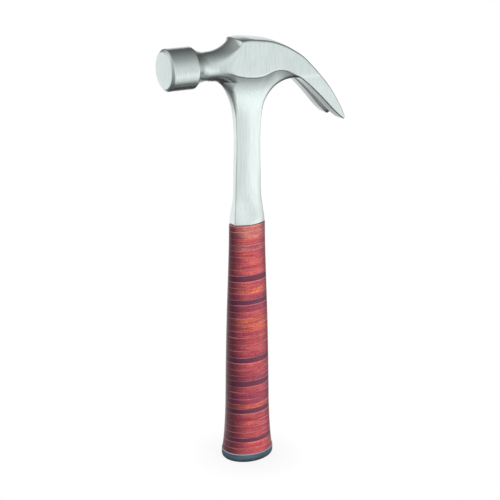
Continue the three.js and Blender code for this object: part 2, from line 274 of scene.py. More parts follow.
# One steel forging: striking end, throat, head, claw, neck, and the tang inside the grip
forging = {
    "grid": 0.56,             # spacing of the sampling grid across the hammer and up it
    "gridSpan": (-67.6, 76.0, 35, 0.97, 190.6, 332.6),   # along x, cells and squeeze in y, up z
    "tangLevels": [1.2, 2.7, 4.0, 40.0, 90.0, 140.0, 185.0],
    "sideTable": (-72.0, 80.0, 214.0, 336.0, 0.25),      # x from and to, z from and to, spacing
    "curveSamples": 1601,
    "neckSamples": 1200,
    "axisHeight": 312.1,      # striking end's axis
    "faceReach": 66.05,
    "faceRadius": 13.0,
    "faceCrown": 0.8,
    "chamferLength": 1.8,
    "bellFront": 14.95,
    "bellRadius": 15.05,
    "bellTaper": (-45, -65),  # where the bell draws in to its radius at the front
    "bellEnd": 45.3,          # where the bell's shoulder starts
    "shoulderSlope": 0.7,
    "throatRadius": 10.4,
    "flareStart": 32.0,
    "flareRadius": 31.5,
    "crown": 1.2,
    "clawBow": 0.3,           # how far the claw's underside is bowed out
    "clawBowRun": (1, 15),    # and the stretch of the claw over which it comes in
    "clawTip": (0.8, -0.6, 73.7, 267.4),      # direction the tip's flat faces, and a point on it
    "stem": 3.2,              # half thickness that the fillet under the cheek runs down to
    "stemDrop": 5.2,          # what it loses further down, so that only the neck is left
    "stemFade": (290, 230),   # the heights between which it loses that
    "filletRadius": 61.0,
    "underEase": (0.7, 3.3, 272, 292),        # rounding under the cheek, what it gains, heights
    "neckBlend": (220, 238),  # heights over which the neck's own shape passes into the web's
    "webSink": (0.8, 0.1),    # how much thinner the web's middle is than the neck, and set in
    "webBox": (-22, 9, 290, 16),              # middle and half size it is kept to, in x and z
    "trimAlong": (-12, -2, 30),      # stretch over which the flare stops trimming, and by how much
    "trimWeb": (-31, -22),           # stretch over which it stops trimming the web
    "trimBelow": ((300, 0.8), (290, 1.6)),    # under a height, by this much per millimetre
    "trimEase": (0.6, 1.6, 327, 321),         # rounding at the trim, what it gains, heights
    "trimCore": (27.0, 2.0),  # blank that the bell is turned from: its end, and what it is over
    "chamferBack": 60.0,      # past this the chamfer's cone falls away, by four to one
    "slotRoot": 0.6,          # half widths of the nail slot
    "slotTip": 3.2,
    "slotUnderBevel": 2.2,
    "slotBevelStart": 0.25,   # share of that bevel at the slot's root
    "slotBevelMost": 2.6,
    "slotTopBevel": 0.35,
    "slotEnd": (0.6, 36.0),   # how far the slot runs past the claw's start, and its limit in x
    "gripTop": 191.8,
    # how far each pair of surfaces is rounded into the other
    "ease": {"bell": 0.4, "throat": 3.2, "web": 3.0, "cheek": 0.9, "claw": 1.0, "under": 1.2,
             "neck": 0.8, "top": 1.5, "tip": 0.4, "webCore": 6.5, "webJoin": 2.5, "chamfer": 0.5,
             "face": 0.45, "slotRoot": 0.9, "slotEdge": 0.4, "gripTop": 0.9},
    "tang": (6.5, 2.8, 3.0, 195.8),   # half width, half thickness, lowest, highest
    "brushing": (1600, 1600, 60),     # how fine the brush marks are along each axis
    "clouding": 90.0,         # how fine the blotches between them are
    "brushDepth": 0.14,
    "polish": (0.1, 0.1, 0.05),       # least roughness, what brush marks add and blotches add
    # painted shade and light: the head's tones are painted darker than the neck's, and the neck's
    # lighter
    "shadedHeadTones": ((201, 214, 212), (219, 229, 227)),     # between and on the brush marks
    "litNeckTones": ((214, 227, 225), (231, 241, 239)),
    "headShadeHeights": (0.29, 0.308),     # metres, where the neck's tones pass into the head's
    # top edge of the head and claw in the side view, with the half thickness there
    "topEdge": [
        (-32.3, 328.4, 11.5), (-24.6, 328.4, 11.5), (-20, 328.4, 11.5), (-16, 328.6, 11.5),
        (-12.6, 328.9, 11.5), (-9.1, 329.4, 11.5), (-5.4, 329.7, 11.5), (-1.7, 329.8, 11.5),
        (3.9, 329.0, 11.5), (8.8, 328.3, 11.5), (11.9, 327.9, 11.5), (16.6, 326.8, 11.6),
        (21.8, 324.8, 11.65), (26.2, 323.0, 11.7), (31.1, 320.4, 11.9), (35.0, 318.0, 12.1),
        (38.6, 315.7, 12.3), (42.0, 313.0, 12.5), (44.8, 310.2, 12.7), (49.8, 305.0, 13.1),
        (55.6, 298.5, 13.8), (61.0, 291.9, 14.6), (64.6, 286.4, 15.2), (68.2, 280.3, 15.9),
        (71.0, 274.7, 16.6), (72.9, 270.2, 17.2), (73.8, 267.2, 17.5),
    ],
    # lower edge of the cheek and of the claw
    "lowEdge": [
        (-32.3, 305.0), (-28.4, 306.2), (-24.6, 307.1), (-20, 307.5), (-16, 306.2), (-12.6, 305.0),
        (-9.1, 304.1), (-5.4, 303.4), (-1.7, 302.9), (3.9, 302.5), (8.8, 303.3), (11.9, 304.4),
        (15.9, 306.0), (19.2, 306.5), (22.2, 306.4), (25.7, 305.7), (28.2, 304.7), (30.5, 303.5),
        (33.5, 301.8), (36.2, 300.2), (41.0, 296.6), (47.3, 291.0), (52.5, 285.8), (57.0, 281.2),
        (61.5, 276.3), (65.7, 271.8), (70.0, 267.8), (72.4, 265.9),
    ],
    # outline of the neck and the underside, from the neck up to the throat and to the claw
    "faceOutline": [
        (-10.9, 216), (-10.6, 224), (-10.4, 232), (-10.1, 240), (-9.8, 250), (-9.8, 260),
        (-10.3, 269), (-11.1, 276), (-12.2, 281), (-13.4, 285), (-14.9, 289), (-16.7, 292.6),
        (-19, 296), (-21.7, 298.7), (-25, 300.4), (-29.5, 301.3), (-34, 301.6), (-40, 301.7),
    ],
    "clawOutline": [
        (10.9, 216), (10.6, 224), (10.4, 232), (10.1, 240), (9.85, 250), (9.95, 260), (10.4, 268),
        (11.0, 275), (12.2, 281.4), (14.5, 286.2), (17.6, 290), (20.8, 293), (24.5, 295.8),
        (28.2, 297.7), (32.1, 298.6), (36, 298.7), (42, 298.5),
    ],
    # middle line of the claw, along which the nail slot widens
    "clawMiddle": [
        (40.8, 305.2), (45.4, 300.8), (51.5, 294.75), (56.8, 288.9), (60.9, 283.6), (64.9, 278.3),
        (68.4, 273.3), (71.5, 269.0), (73.1, 266.6),
    ],
    # neck: height, half width, half thickness in the middle and at the narrow flat sides
    "neck": [
        (190.4, 12.85, 8.0, 4.15), (191.8, 12.85, 8.0, 4.15), (195, 12.8, 7.7, 4.1),
        (198, 12.5, 7.1, 3.8), (202, 12.0, 6.3, 3.4), (206, 11.5, 5.7, 2.9), (211, 11.0, 5.2, 2.4),
        (217, 10.75, 4.8, 2.1), (225, 10.55, 4.5, 2.15), (240, 10.4, 4.3, 2.3),
        (252, 10.4, 4.2, 2.3), (265, 10.5, 4.1, 2.1), (273, 10.7, 4.1, 2.1), (281, 11.2, 4.1, 2.8),
        (289, 12.0, 4.2, 4.1), (300, 13.0, 4.4, 4.4), (312, 13.0, 4.4, 4.4),
    ],
}


# Side-view fields on a fine table: distance outside the top edge, outside the lower edge and
# outside the neck and underside, half thickness, and distance along the claw. They are read back
# as the mean of the four nearest entries, weighted by nearness.
class SideView:
    def __init__(self, spec):
        lowX, highX, lowZ, highZ, self.step = spec["sideTable"]
        self.lowX, self.lowZ = lowX, lowZ
        x, z = np.meshgrid(np.arange(lowX, highX, self.step), np.arange(lowZ, highZ, self.step),
                           indexing="ij")
        top, low, faceSide, clawSide = (
            smoothRows(spec[name], spec["curveSamples"])
            for name in ("topEdge", "lowEdge", "faceOutline", "clawOutline"))
        middle = smoothRows(spec["clawMiddle"], spec["curveSamples"] // 2 + 1)
        outTop, share = curveDistance(top[:, :2], True, x, z)[:2]
        side = np.interp(share, np.linspace(0, 1, len(top)), top[:, 2])
        outLow = curveDistance(low, False, x, z)[0]
        outUnder = np.maximum(curveDistance(faceSide, True, x, z)[0],
                              curveDistance(clawSide, False, x, z)[0])
        share, past = curveDistance(middle, True, x, z)[1:]
        self.clawLength = np.hypot(*np.diff(middle, axis=0).T).sum()
        clawRun = share * self.clawLength + past
        self.table = np.stack([outTop, outLow, outUnder, side, clawRun], -1)

    # The small share taken off the last place keeps its next entry inside the table.
    def read(self, x, z):
        x, z = np.broadcast_arrays(x, z)
        u = np.clip((x - self.lowX) / self.step, 0, self.table.shape[0] - 1.001)
        v = np.clip((z - self.lowZ) / self.step, 0, self.table.shape[1] - 1.001)
        i, j = u.astype(int), v.astype(int)
        u, v = (u - i)[..., None], (v - j)[..., None]
        t = self.table
        found = ((t[i, j] * (1 - u) + t[i + 1, j] * u) * (1 - v)
                 + (t[i, j + 1] * (1 - u) + t[i + 1, j + 1] * u) * v)
        return [found[..., k] for k in range(found.shape[-1])]


sideView = SideView(forging)
neckRows = smoothRows(forging["neck"], forging["neckSamples"])
neckSlope = np.gradient(neckRows, neckRows[:, 0], axis=0)


# Turned outline of the bell and throat: a level bell, a straight shoulder that runs into the
# throat, and an arc that flares out past it. Also gives the cosine of the outline's slope, which
# makes a difference in radius a distance.
def turnedRadius(x, spec):
    ease, arc = spec["ease"], spec["flareRadius"]
    taper = ramp(x, *spec["bellTaper"])
    bell = spec["bellRadius"] + (spec["bellFront"] - spec["bellRadius"]) * taper
    shoulder = spec["bellRadius"] - spec["shoulderSlope"] * (x + spec["bellEnd"])
    out = np.clip(x + spec["flareStart"], 0, arc * 0.985)      # short of where the arc is upright
    rise = np.sqrt(arc ** 2 - out * out)
    flare = spec["throatRadius"] + arc - rise
    radius = roundMax(roundMin(bell, shoulder, ease["bell"]), flare, ease["throat"])
    onShoulder = np.where(bell < shoulder, 0.0, spec["shoulderSlope"])
    slope = np.where(shoulder > flare, onShoulder, out / rise)
    return radius, 1.0 / np.sqrt(1.0 + slope * slope)


# Neck's half width and its half thickness, which falls from the middle to the narrow flat sides
# by the square of the distance across.
def neckSize(x, z):
    wide, middle, sides = [np.interp(z, neckRows[:, 0], neckRows[:, k]) for k in (1, 2, 3)]
    return wide, middle - (middle - sides) * np.minimum(np.abs(x) / wide, 1) ** 2


# Distance outside the cheeks and the claw's sides: flat above the lower edge, and below it a
# fillet, an arc that runs in to the neck's half thickness.
def wallField(across, z, outLow, side, neckHalf, spec):
    ease, arc = spec["ease"], spec["filletRadius"]
    stem = spec["stem"] - easeRamp(z, *spec["stemFade"], spec["stemDrop"])
    start = arc * np.sin(np.arccos(1 - (side - stem) / arc))
    rise = np.clip(start - outLow, 0, None) / arc     # held short of 1 below, the arc's top
    fillet = stem + arc * (1 - np.sqrt(1 - np.minimum(rise, 0.92) ** 2))
    half = roundMin(side, roundMax(fillet, neckHalf, ease["web"]), ease["cheek"])
    slant = np.where(fillet < side, np.sqrt(1 - np.minimum(rise, 0.9) ** 2), 1.0)
    return (across - half) * slant


# Distance inside the nail slot: its half width grows along the claw, and it opens out towards
# both faces, more to the underside and less near the slot's root.
def slotField(x, across, outTop, outLow, clawRun, spec, clawLength):
    depth = np.clip(-outTop / np.maximum(-outTop - outLow, 0.5), 0, 1)
    gap = spec["slotRoot"] + (spec["slotTip"] - spec["slotRoot"]) * clawRun / clawLength
    gap = gap + spec["slotTopBevel"] * np.clip(1 - 2 * depth, 0, 1)
    bevel = spec["slotUnderBevel"] * np.clip(spec["slotBevelStart"] + clawRun / clawLength, 0, 1)
    gap = gap + np.clip(outLow + bevel, 0, spec["slotBevelMost"])
    slot = roundMin(gap - across, clawRun + spec["slotEnd"][0], spec["ease"]["slotRoot"])
    return np.minimum(slot, x - spec["slotEnd"][1])


# Field of the whole forging, below zero inside. Each surface is a distance, the largest of
# several is what they share, and the smallest is their union.
def forgingField(x, y, z, spec=forging, view=sideView):
    ease = spec["ease"]
    outTop, outLow, outUnder, side, clawRun = view.read(x, z)
    across = np.abs(y)
    bow = 1.0 - np.minimum((y / side) ** 2, 1.0)

    # the side view's outline: bowed under the claw, round below the web
    neckWide, neckHalf = neckSize(x, z)
    wall = wallField(across, z, outLow, side, neckHalf, spec)
    claw = roundMax(wall, outLow - spec["clawBow"] * bow * ramp(clawRun, *spec["clawBowRun"]),
                    ease["claw"])
    least, gain, low, high = spec["underEase"]
    post = roundMax(wall, outUnder, least + gain * ramp(z, low, high))
    head = roundMin(claw, post, ease["under"])

    # lower neck: a bowed front and back with narrow flat sides, which widens to the grip
    slopes = [np.interp(z, neckRows[:, 0], neckSlope[:, k]) for k in (1, 2)]
    neck = roundMax((across - neckHalf) / np.sqrt(1 + slopes[1] ** 2),
                    (np.abs(x) - neckWide) / np.sqrt(1 + slopes[0] ** 2), ease["neck"])
    blend = easeRamp(z, *spec["neckBlend"])
    head = neck * (1 - blend) + head * blend
    head = roundMax(head, outTop - spec["crown"] * bow, ease["top"])
    tipX, tipZ, overX, overZ = spec["clawTip"]
    head = roundMax(head, tipX * (x - overX) + tipZ * (z - overZ), ease["tip"])

    # turned striking end, which also trims the cheeks where it flares, above the web
    out = np.sqrt(y * y + (z - spec["axisHeight"]) ** 2)
    radius, lean = turnedRadius(x, spec)
    turned = (out - radius) * lean
    below = sum(rate * np.clip(height - z, 0, None) for height, rate in spec["trimBelow"])
    start, end, most = spec["trimAlong"]
    opened = most * ramp(x, start, end) ** 2 + below * ramp(x, *spec["trimWeb"])
    least, gain, high, low = spec["trimEase"]
    core = np.maximum(x + spec["trimCore"][0], out - spec["bellRadius"] - spec["trimCore"][1])
    head = roundMax(np.minimum(head, core), turned - opened, least + gain * ramp(z, high, low))

    # thin middle of the web, which carries on under the throat
    middle = roundMax(across - neckHalf + spec["webSink"][0], outUnder + spec["webSink"][1],
                      ease["webCore"])
    boxX, halfX, boxZ, halfZ = spec["webBox"]
    box = np.maximum(np.abs(z - boxZ) - halfZ, np.abs(x - boxX) - halfX)
    head = roundMin(head, np.maximum(middle, box), ease["webJoin"])

    # chamfer: a cone through the rim of the face and the front of the bell; face: a low crown
    chamfer = (spec["faceRadius"] - spec["bellFront"], spec["chamferLength"])
    cone = chamfer[0] * (x + spec["faceReach"]) + chamfer[1] * (out - spec["faceRadius"])
    cone = cone / math.hypot(*chamfer) - 4 * np.clip(x + spec["chamferBack"], 0, None)
    bulge = spec["faceCrown"] * (1 - np.minimum(out / spec["faceRadius"], 1.3) ** 2)
    face = -(x + spec["faceReach"]) - bulge
    body = roundMax(roundMax(head, cone, ease["chamfer"]), face, ease["face"])

    slot = slotField(x, across, outTop, outLow, clawRun, spec, view.clawLength)
    body = roundMax(body, slot, ease["slotEdge"])
    body = roundMax(body, spec["gripTop"] - z, ease["gripTop"])
    wide, thick, low, high = spec["tang"]
    tang = np.maximum(np.maximum(np.abs(x) - wide, across - thick), np.maximum(low - z, z - high))
    return np.minimum(body, tang)


# Slope of the forging's field at points: the difference over a short step both ways, per axis.
def forgingSlope(points, h=0.02):
    slope = np.empty_like(points)
    for k in range(3):
        step = np.zeros(3)
        step[k] = h
        slope[:, k] = forgingField(*(points + step).T) - forgingField(*(points - step).T)
    return slope / (2 * h)


# Surface of a field by dual contouring: one corner in each grid cell that the surface crosses,
# placed where the tangent planes of its crossings meet, so that sharp edges stay sharp. Planes
# that pull less than a share of the strongest leave the corner at the crossings' mean.
def contour(field, slopeOf, axes, weakest=0.06, margin=0.02):
    values = field(axes[0][:, None, None], axes[1][None, :, None], axes[2][None, None, :])
    cells = [len(a) - 1 for a in axes]
    total = np.prod(cells)
    pull = np.zeros((total, 6))
    push = np.zeros((total, 3))
    centre = np.zeros((total, 3))
    count = np.zeros(total)
    quads = []
    for axis in range(3):
        # grid edges along this axis whose ends lie on two sides of the surface
        low = [slice(None)] * 3
        high = [slice(None)] * 3
        low[axis], high[axis] = slice(0, -1), slice(1, None)
        a, b = values[tuple(low)], values[tuple(high)]
        index = np.argwhere((a < 0) != (b < 0))
        va, vb = a[tuple(index.T)], b[tuple(index.T)]
        start = np.stack([axes[k][index[:, k]] for k in range(3)], 1)
        end = start.copy()
        end[:, axis] = axes[axis][index[:, axis] + 1]

        # where the field is zero on each, by guarded straight guesses between the two ends
        lowT, highT = np.zeros(len(index)), np.ones(len(index))
        inLow = va < 0
        t = va / (va - vb)
        for _ in range(5):
            at = start + (end - start) * t[:, None]
            value = field(*at.T)
            same = (value < 0) == inLow
            lowT, highT = np.where(same, t, lowT), np.where(same, highT, t)
            va, vb = np.where(same, value, va), np.where(same, vb, value)
            t = np.clip(lowT + (highT - lowT) * va / np.where(va == vb, 1, va - vb),
                        lowT + margin * (highT - lowT), highT - margin * (highT - lowT))
        at = start + (end - start) * t[:, None]
        n = slopeOf(at)
        n /= np.linalg.norm(n, axis=1, keepdims=True) + 1e-12

        # each crossing is shared by four cells, which also make a quad of the surface
        others = [(axis + 1) % 3, (axis + 2) % 3]
        corners = []
        for du, dv in ((-1, -1), (0, -1), (0, 0), (-1, 0)):
            cell = index.copy()
            cell[:, others[0]] += du
            cell[:, others[1]] += dv
            number = np.ravel_multi_index(tuple(cell.T), cells)
            corners.append(number)
            np.add.at(count, number, 1)
            np.add.at(centre, number, at)
            products = np.stack([n[:, 0] ** 2, n[:, 0] * n[:, 1], n[:, 0] * n[:, 2],
                                 n[:, 1] ** 2, n[:, 1] * n[:, 2], n[:, 2] ** 2], 1)
            np.add.at(pull, number, products)
            np.add.at(push, number, n * (n * at).sum(1, keepdims=True))
        quad = np.stack(corners, 1)
        quads.append(np.where(inLow[:, None], quad, quad[:, ::-1]))

    # least squares meeting point of the planes in each used cell, kept inside the cell
    used = np.flatnonzero(count)
    renumber = np.full(total, -1)
    renumber[used] = np.arange(len(used))
    middle = centre[used] / count[used][:, None]
    matrix = np.take(pull[used], [0, 1, 2, 1, 3, 4, 2, 4, 5], axis=1).reshape(-1, 3, 3)
    value, vector = np.linalg.eigh(matrix)
    inverse = np.where(value > weakest * value[:, -1:], 1 / np.maximum(value, 1e-9), 0)
    rest = push[used] - np.einsum("nij,nj->ni", matrix, middle)
    points = middle + np.einsum("nij,nj,nkj,nk->ni", vector, inverse, vector, rest)
    cell = np.stack(np.unravel_index(used, cells), 1)
    low = np.stack([axes[k][cell[:, k]] for k in range(3)], 1)
    high = np.stack([axes[k][cell[:, k] + 1] for k in range(3)], 1)
    points = np.clip(points, low + margin * (high - low), high - margin * (high - low))
    return points, renumber[np.vstack(quads)]


# The forging's surface: its field contoured on a grid that is coarse only along the tang, and
# settled twice by the field over its slope squared. Each quad is split along the diagonal that
# lies nearer the surface. A corner's normal is the slope a quarter of the way to the triangle's
# middle, so that it belongs to one side of a sharp edge.
def meshForging(spec):
    step = spec["grid"]
    fromX, toX, cellsY, squeeze, fromZ, toZ = spec["gridSpan"]
    x = np.arange(fromX, toX + step, step)
    y = np.arange(-cellsY, cellsY + 1) * step * squeeze
    z = np.concatenate([spec["tangLevels"], np.arange(fromZ, toZ, step)])
    points, quads = contour(forgingField, forgingSlope, [x, y, z])
    for _ in range(2):
        slope = forgingSlope(points)
        size = (slope**2).sum(1)
        move = np.where(size > 0.5, forgingField(*points.T) / np.maximum(size, 0.5), 0)
        points -= slope * np.clip(move, -0.1, 0.1)[:, None]    # no point goes further than this
    away = [np.abs(forgingField(*((points[quads[:, i]] + points[quads[:, i + 2]]) / 2).T))
            for i in range(2)]
    turned = np.where((away[0] <= away[1])[:, None], quads, np.roll(quads, -1, axis=1))
    faces = np.vstack([turned[:, [0, 1, 2]], turned[:, [0, 2, 3]]])
    middle = points[faces].mean(1)
    near = points[faces] + 0.25 * (middle[:, None] - points[faces])
    normals = forgingSlope(near.reshape(-1, 3))
    normals /= np.linalg.norm(normals, axis=1, keepdims=True) + 1e-12
    return points, faces, normals


# Brushed bare steel: fine marks down the handle vary its roughness, tone and relief.
def steelMaterial(spec):
    material = bpy.data.materials.new("brushedSteel")
    t = Tree(material)
    fine = t.noise(t.place(spec["brushing"]), 1.0, detail=3.0, rough=0.6)
    cloud = t.noise(t.place(), spec["clouding"], detail=3.0, rough=0.55)
    least, marks, blotches = spec["polish"]
    bump = t.node("ShaderNodeBump", {}, Strength=spec["brushDepth"], Distance=reliefStep,
                  Height=fine)
    streaks = t.remap(fine * 0.75 + cloud * 0.25, 0.35, 0.65)     # mostly marks, some blotches
    # painted shade on the head and painted light on the neck, one passing into the other by height
    shadedHeadTone = t.mix(streaks, *[seen(*tone) for tone in spec["shadedHeadTones"]])
    litNeckTone = t.mix(streaks, *[seen(*tone) for tone in spec["litNeckTones"]])
    height = t.node("ShaderNodeSeparateXYZ", {}, t.place(), out="Z")
    colour = t.mix(t.remap(height, *spec["headShadeHeights"]), litNeckTone, shadedHeadTone)
    shader = t.node("ShaderNodeBsdfPrincipled", {}, Base_Color=colour, Metallic=1.0,
                    Roughness=least + fine * marks + cloud * blotches, Normal=bump)
    t.finish(shader)
    return material


points, faces, normals = meshForging(forging)
print("forging meshed:", len(points), "points,", len(faces), "triangles")
head = putMesh("steelForging", points, faces, steelMaterial(forging), loopNormals=normals)
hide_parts("forged_head_neck_and_tang")
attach(head, "root")


# Thirty-eight leather washers, from the cap up. Heights, edges and sizes are shares of the
# grip's height and of its size at the top.
grip = {
    "bottom": 7.52,
    "height": 184.0,
    "topHalf": (14.7, 8.1),
    "slot": (6.8, 3.1),
    "gap": 0.02,             # left between two washers
    "edge": 0.16,            # how far each washer's rim is eased
    "around": 144,
    "rings": 4,              # of each eased rim and of the wall between
    "sharpAngle": 50,
    "samples": 600,
    "heights": [0, .015, .044, .072, .101, .158, .214, .298, .38, .4625, .544, .6245, .704,
                .783, .8875, .939, 1],
    "widths": [1.381, 1.357, 1.313, 1.286, 1.265, 1.228, 1.211, 1.201, 1.19, 1.173, 1.153,
               1.126, 1.092, 1.058, 1.017, 1.005, 1],
    "depths": [2.043, 2.0, 1.932, 1.883, 1.84, 1.759, 1.704, 1.648, 1.593, 1.531, 1.463,
               1.383, 1.296, 1.21, 1.093, 1.043, 1],
    "edges": [0, .0248, .0539, .0732, .0968, .126, .15, .1828, .2048, .2253, .2484, .2796,
              .3054, .3318, .3545, .382, .4111, .436, .4662, .4937, .5245, .5525, .5817,
              .6082, .6352, .6661, .6877, .7147, .7386, .7652, .7923, .8177, .8491, .8729,
              .899, .9207, .9478, .9772, 1],
    "tones": ("red red dark deep deep red deep dark bright plum plum red dark plum deep red dark "
              "deep deep deep red bright bright deep plum dark deep bright red dark red red red "
              "red rose red rose rose").split(),
    "colours": {"rose": (242, 146, 142), "bright": (244, 122, 96), "red": (232, 106, 106),
                "deep": (210, 92, 100), "plum": (178, 76, 100), "dark": (92, 54, 84)},
    "seedStep": 2.37,        # how far apart the washers' patterns are
    "blotches": (70, 70, 260),         # how fine the patterns are along each axis
    "streaks": (60, 60, 1500),
    "grain": (1400, 1400, 1400),
    "grainDepth": 0.2,
    "blotchLevels": (0.34, 0.66),      # levels of the blotches from purplish to orange
    "coolShift": (0.78, 0.62, 0.92),   # what a tone is multiplied by where it is purplish
    "warmShift": (1.28, 1.38, 1.0),    # and where it is orange
    # stains and painted shade over that: pattern, levels between which it comes in, its largest
    # share, its tone
    "stainsAndShade": [
        ("streak", (0.42, 0.64), 0.7, (136, 40, 60)),
        ("grain", (0.42, 0.66), 0.8, (94, 30, 52)),
        # painted shade: darker towards the narrow sides of the grip
        ("paintedSideShade", (0.35, 0.92), 0.85, (84, 34, 56)),
    ],
    # painted highlight along each washer's upper rim:
    "rimHighlightTone": (222, 140, 142),
    "rimHighlightLevels": (0.84, 0.95),         # how far up a washer the light line comes in
    "rimStreaks": (0.6, 0.4, 0.1, 0.75),    # levels from dark streaks to light, and its shares
    "dullness": (0.36, 0.12),          # least roughness, and what the grain adds
    "lacquer": 0.7,
    "lacquerDullness": 0.16,
    "refraction": (1.3, 1.32),         # of the leather and of its lacquer
}
sizeRows = smoothRows(np.stack([grip["heights"], grip["widths"], grip["depths"]], 1),
                      grip["samples"])


# Points of a rectangle, given by its half sizes, at angles round its middle.
def boxOutline(angle, halfX, halfY):
    c, s = np.cos(angle), np.sin(angle)
    reach = 1 / np.maximum(np.abs(c) / halfX, np.abs(s) / halfY)
    return np.stack([reach * c, reach * s], -1)


# One washer: a profile loop (slot wall, underside, eased rim, outer wall, eased rim, top)
# carried round an oval. Its radius across and along come from the grip's sizes at each height.
# The UV map gives how far round to the narrow sides and how far up the washer a point lies.
def meshWasher(spec, index):
    lowShare, highShare = spec["edges"][index], spec["edges"][index + 1]
    low = spec["bottom"] + spec["height"] * lowShare
    high = spec["bottom"] + spec["height"] * highShare - spec["gap"]
    ease = spec["edge"]
    turn = np.linspace(0, np.pi / 2, spec["rings"])
    wall = np.linspace(0, 1, spec["rings"])[1:-1]
    outer = np.concatenate([ease * (1 - np.sin(turn)), 0 * wall, ease * (1 - np.sin(turn[::-1]))])
    height = np.concatenate([low + ease * (1 - np.cos(turn)),
                             low + ease + (high - low - 2 * ease) * wall,
                             high - ease * (1 - np.cos(turn[::-1]))])
    share = np.clip((height - spec["bottom"]) / spec["height"], 0, 1)
    wide = spec["topHalf"][0] * np.interp(share, sizeRows[:, 0], sizeRows[:, 1]) - outer
    deep = spec["topHalf"][1] * np.interp(share, sizeRows[:, 0], sizeRows[:, 2]) - outer
    angle = np.linspace(0, 2 * np.pi, spec["around"], endpoint=False)
    rim = np.stack([wide[:, None] * np.cos(angle), deep[:, None] * np.sin(angle),
                    height[:, None] + 0 * angle], -1)
    inner = boxOutline(angle, *spec["slot"])
    lowInner = np.concatenate([inner, np.full((len(angle), 1), low)], 1)
    highInner = np.concatenate([inner, np.full((len(angle), 1), high)], 1)
    grid = np.concatenate([lowInner[None], rim, highInner[None]])
    rows, columns = grid.shape[:2]
    faces = ringFaces(rows, columns)
    v = np.clip((grid[..., 2] - low) / (high - low), 0, 1)
    u = np.broadcast_to(np.abs(np.cos(angle)), v.shape)
    return grid.reshape(-1, 3), faces, np.stack([u, v], -1).reshape(-1, 2)


# Stained and lacquered leather: the washer's own tone, blotchy, with streaks along it, fine
# grain, painted shade darker towards the narrow sides, and a painted highlight, a pale line at its
# upper rim.
def leatherMaterial(spec):
    material = bpy.data.materials.new("lacqueredLeather")
    t = Tree(material)
    tone = t.node("ShaderNodeVertexColor", {"layer_name": "tone"})
    seed = t.node("ShaderNodeAttribute", {"attribute_name": "seed"}, out="Fac")
    streak = t.noise(t.place(spec["streaks"]), 1.0, detail=3.0, rough=0.6, seed=seed)
    blotch = t.noise(t.place(spec["blotches"]), 1.0, detail=3.0, rough=0.6, seed=seed)
    grain = t.noise(t.place(spec["grain"]), 1.0, detail=2.0, rough=0.7)
    surface = t.node("ShaderNodeUVMap", {"uv_map": "surface"})
    # how far round to the narrow sides: the mask of the painted side shade
    paintedSideShade = t.node("ShaderNodeSeparateXYZ", {}, surface, out="X")
    upward = t.node("ShaderNodeSeparateXYZ", {}, surface, out="Y")

    shift = t.mix(t.remap(blotch, *spec["blotchLevels"]), spec["coolShift"], spec["warmShift"])
    colour = t.mix(1.0, tone, shift, "MULTIPLY")
    patterns = {"streak": streak, "grain": grain, "paintedSideShade": paintedSideShade}
    for name, levels, most, stainAndShadeTone in spec["stainsAndShade"]:
        colour = t.mix(t.remap(patterns[name], *levels, 0.0, most), colour, seen(*stainAndShadeTone))
    # painted highlight: a pale line along the upper rim of each washer
    rim = t.remap(upward, *spec["rimHighlightLevels"]) * t.remap(streak, *spec["rimStreaks"])
    colour = t.mix(rim, colour, seen(*spec["rimHighlightTone"]))
    bump = t.node("ShaderNodeBump", {}, Strength=spec["grainDepth"], Distance=reliefStep,
                  Height=streak + grain * 0.5)
    least, gain = spec["dullness"]
    shader = t.node("ShaderNodeBsdfPrincipled", {}, Base_Color=colour, Normal=bump,
                    Roughness=least + grain * gain, IOR=spec["refraction"][0],
                    Coat_Weight=spec["lacquer"], Coat_Roughness=spec["lacquerDullness"],
                    Coat_IOR=spec["refraction"][1])
    t.finish(shader)
    return material


leather = leatherMaterial(grip)
for index, tone in enumerate(grip["tones"]):
    points, faces, uv = meshWasher(grip, index)
    piece = putMesh(f"gripWasher{index + 1:02d}", points, faces, leather, uv=uv,
                    tone=seen(*grip["colours"][tone]), seed=grip["seedStep"] * index)
    piece.data.set_sharp_from_angle(angle=math.radians(grip["sharpAngle"]))
    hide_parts(f"leather_washer_{index + 1:02d}")
    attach(piece, "root")
print("washers made:", len(grip["tones"]))


# Oval steel cap that closes the butt
cap = {
    "half": (20.85, 17.1),
    "height": 7.5,
    "round": 3.0,            # of the lower edge
    "roundRings": 10,
    "wallHeights": [4.4, 5.8],
    "topEdge": 0.5,
    "pocket": (6.8, 3.1, 2.7),         # half sizes, and the height of its floor
    "around": 160,
    "sharpAngle": 40,
    "clouding": (120, 120, 260),
    "tones": ((78, 102, 118), (112, 134, 148)),
    # painted highlight along the upper rim:
    "rimHighlightTone": (220, 232, 238),
    "rimHighlightHeights": (0.0068, 0.0072),    # metres, where the bright rim comes in
    "rimShare": 0.85,
    # painted shade on the lower edge:
    "lowEdgeShadeTone": (40, 52, 60),
    "lowEdgeShadeHeights": (0.0048, 0.001),    # metres, down which the dark lower edge comes in
    "edgeShare": 0.9,
    "metallic": 0.6,
    "polish": (0.3, 0.1),              # least roughness, and what the clouding adds
}


